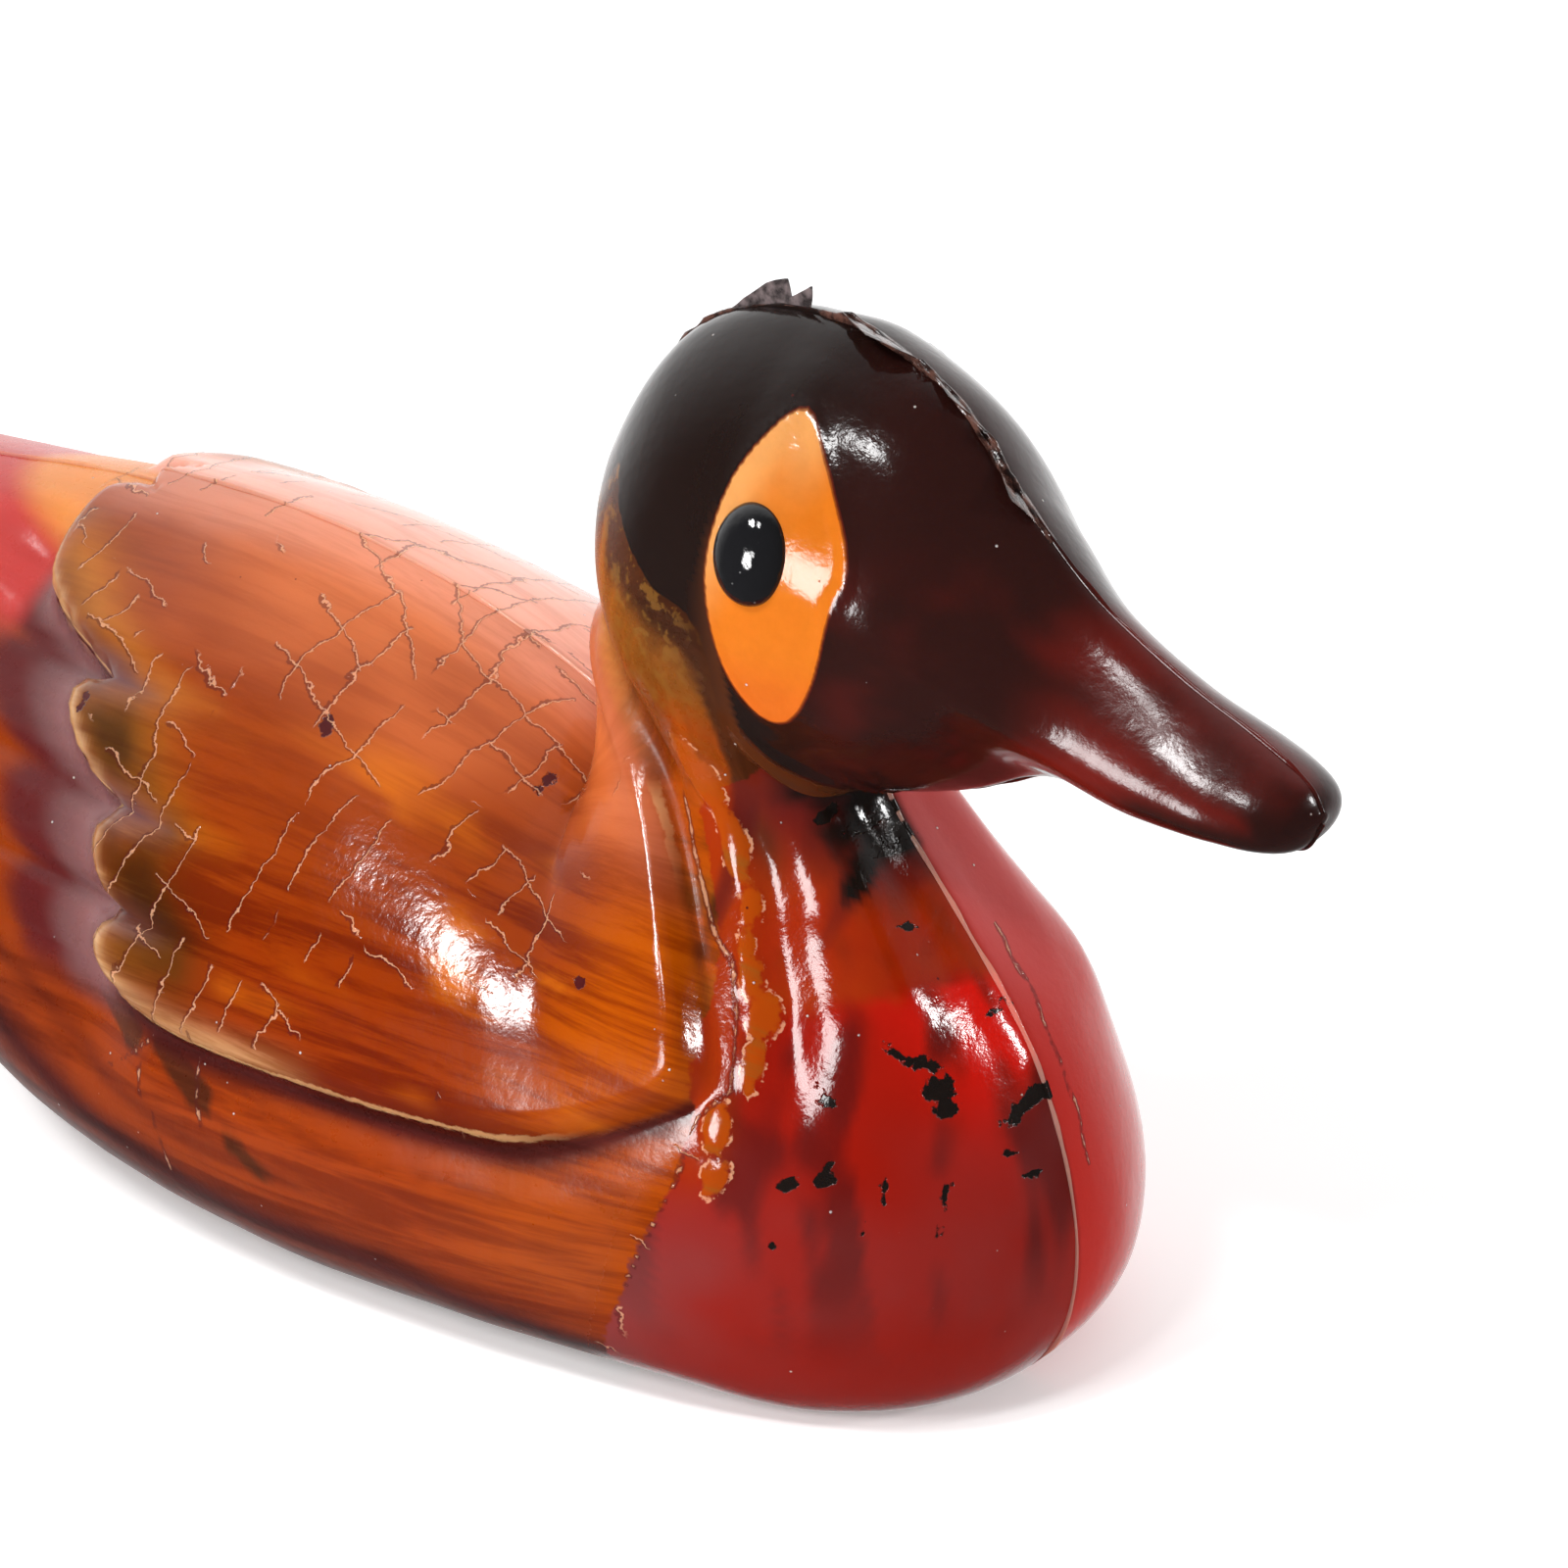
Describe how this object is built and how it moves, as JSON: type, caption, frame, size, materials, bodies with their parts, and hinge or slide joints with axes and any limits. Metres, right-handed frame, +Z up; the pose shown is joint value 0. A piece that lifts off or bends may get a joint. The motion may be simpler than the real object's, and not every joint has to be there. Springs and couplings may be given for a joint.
{
  "type": "mandarin duck sculpture",
  "caption": "Small solid ornament of a duck in glossy amber and red resin, with folded wings, a black head and a long bill, standing on its flat base.",
  "frame": {"origin": "on the flat base, under the middle of the duck's length and width", "axes": "+X towards the tip of the bill, +Y towards the duck's left, +Z up"},
  "size_m": [0.12, 0.0486, 0.0642],
  "materials": {
    "resin": "glossy, streaked amber, red and black",
    "eye_bead": "gloss"
  },
  "bodies": {
    "root": {"duck_casting": "resin", "left_eye_bead": "eye_bead", "right_eye_bead": "eye_bead"}
  },
  "joints": []
}
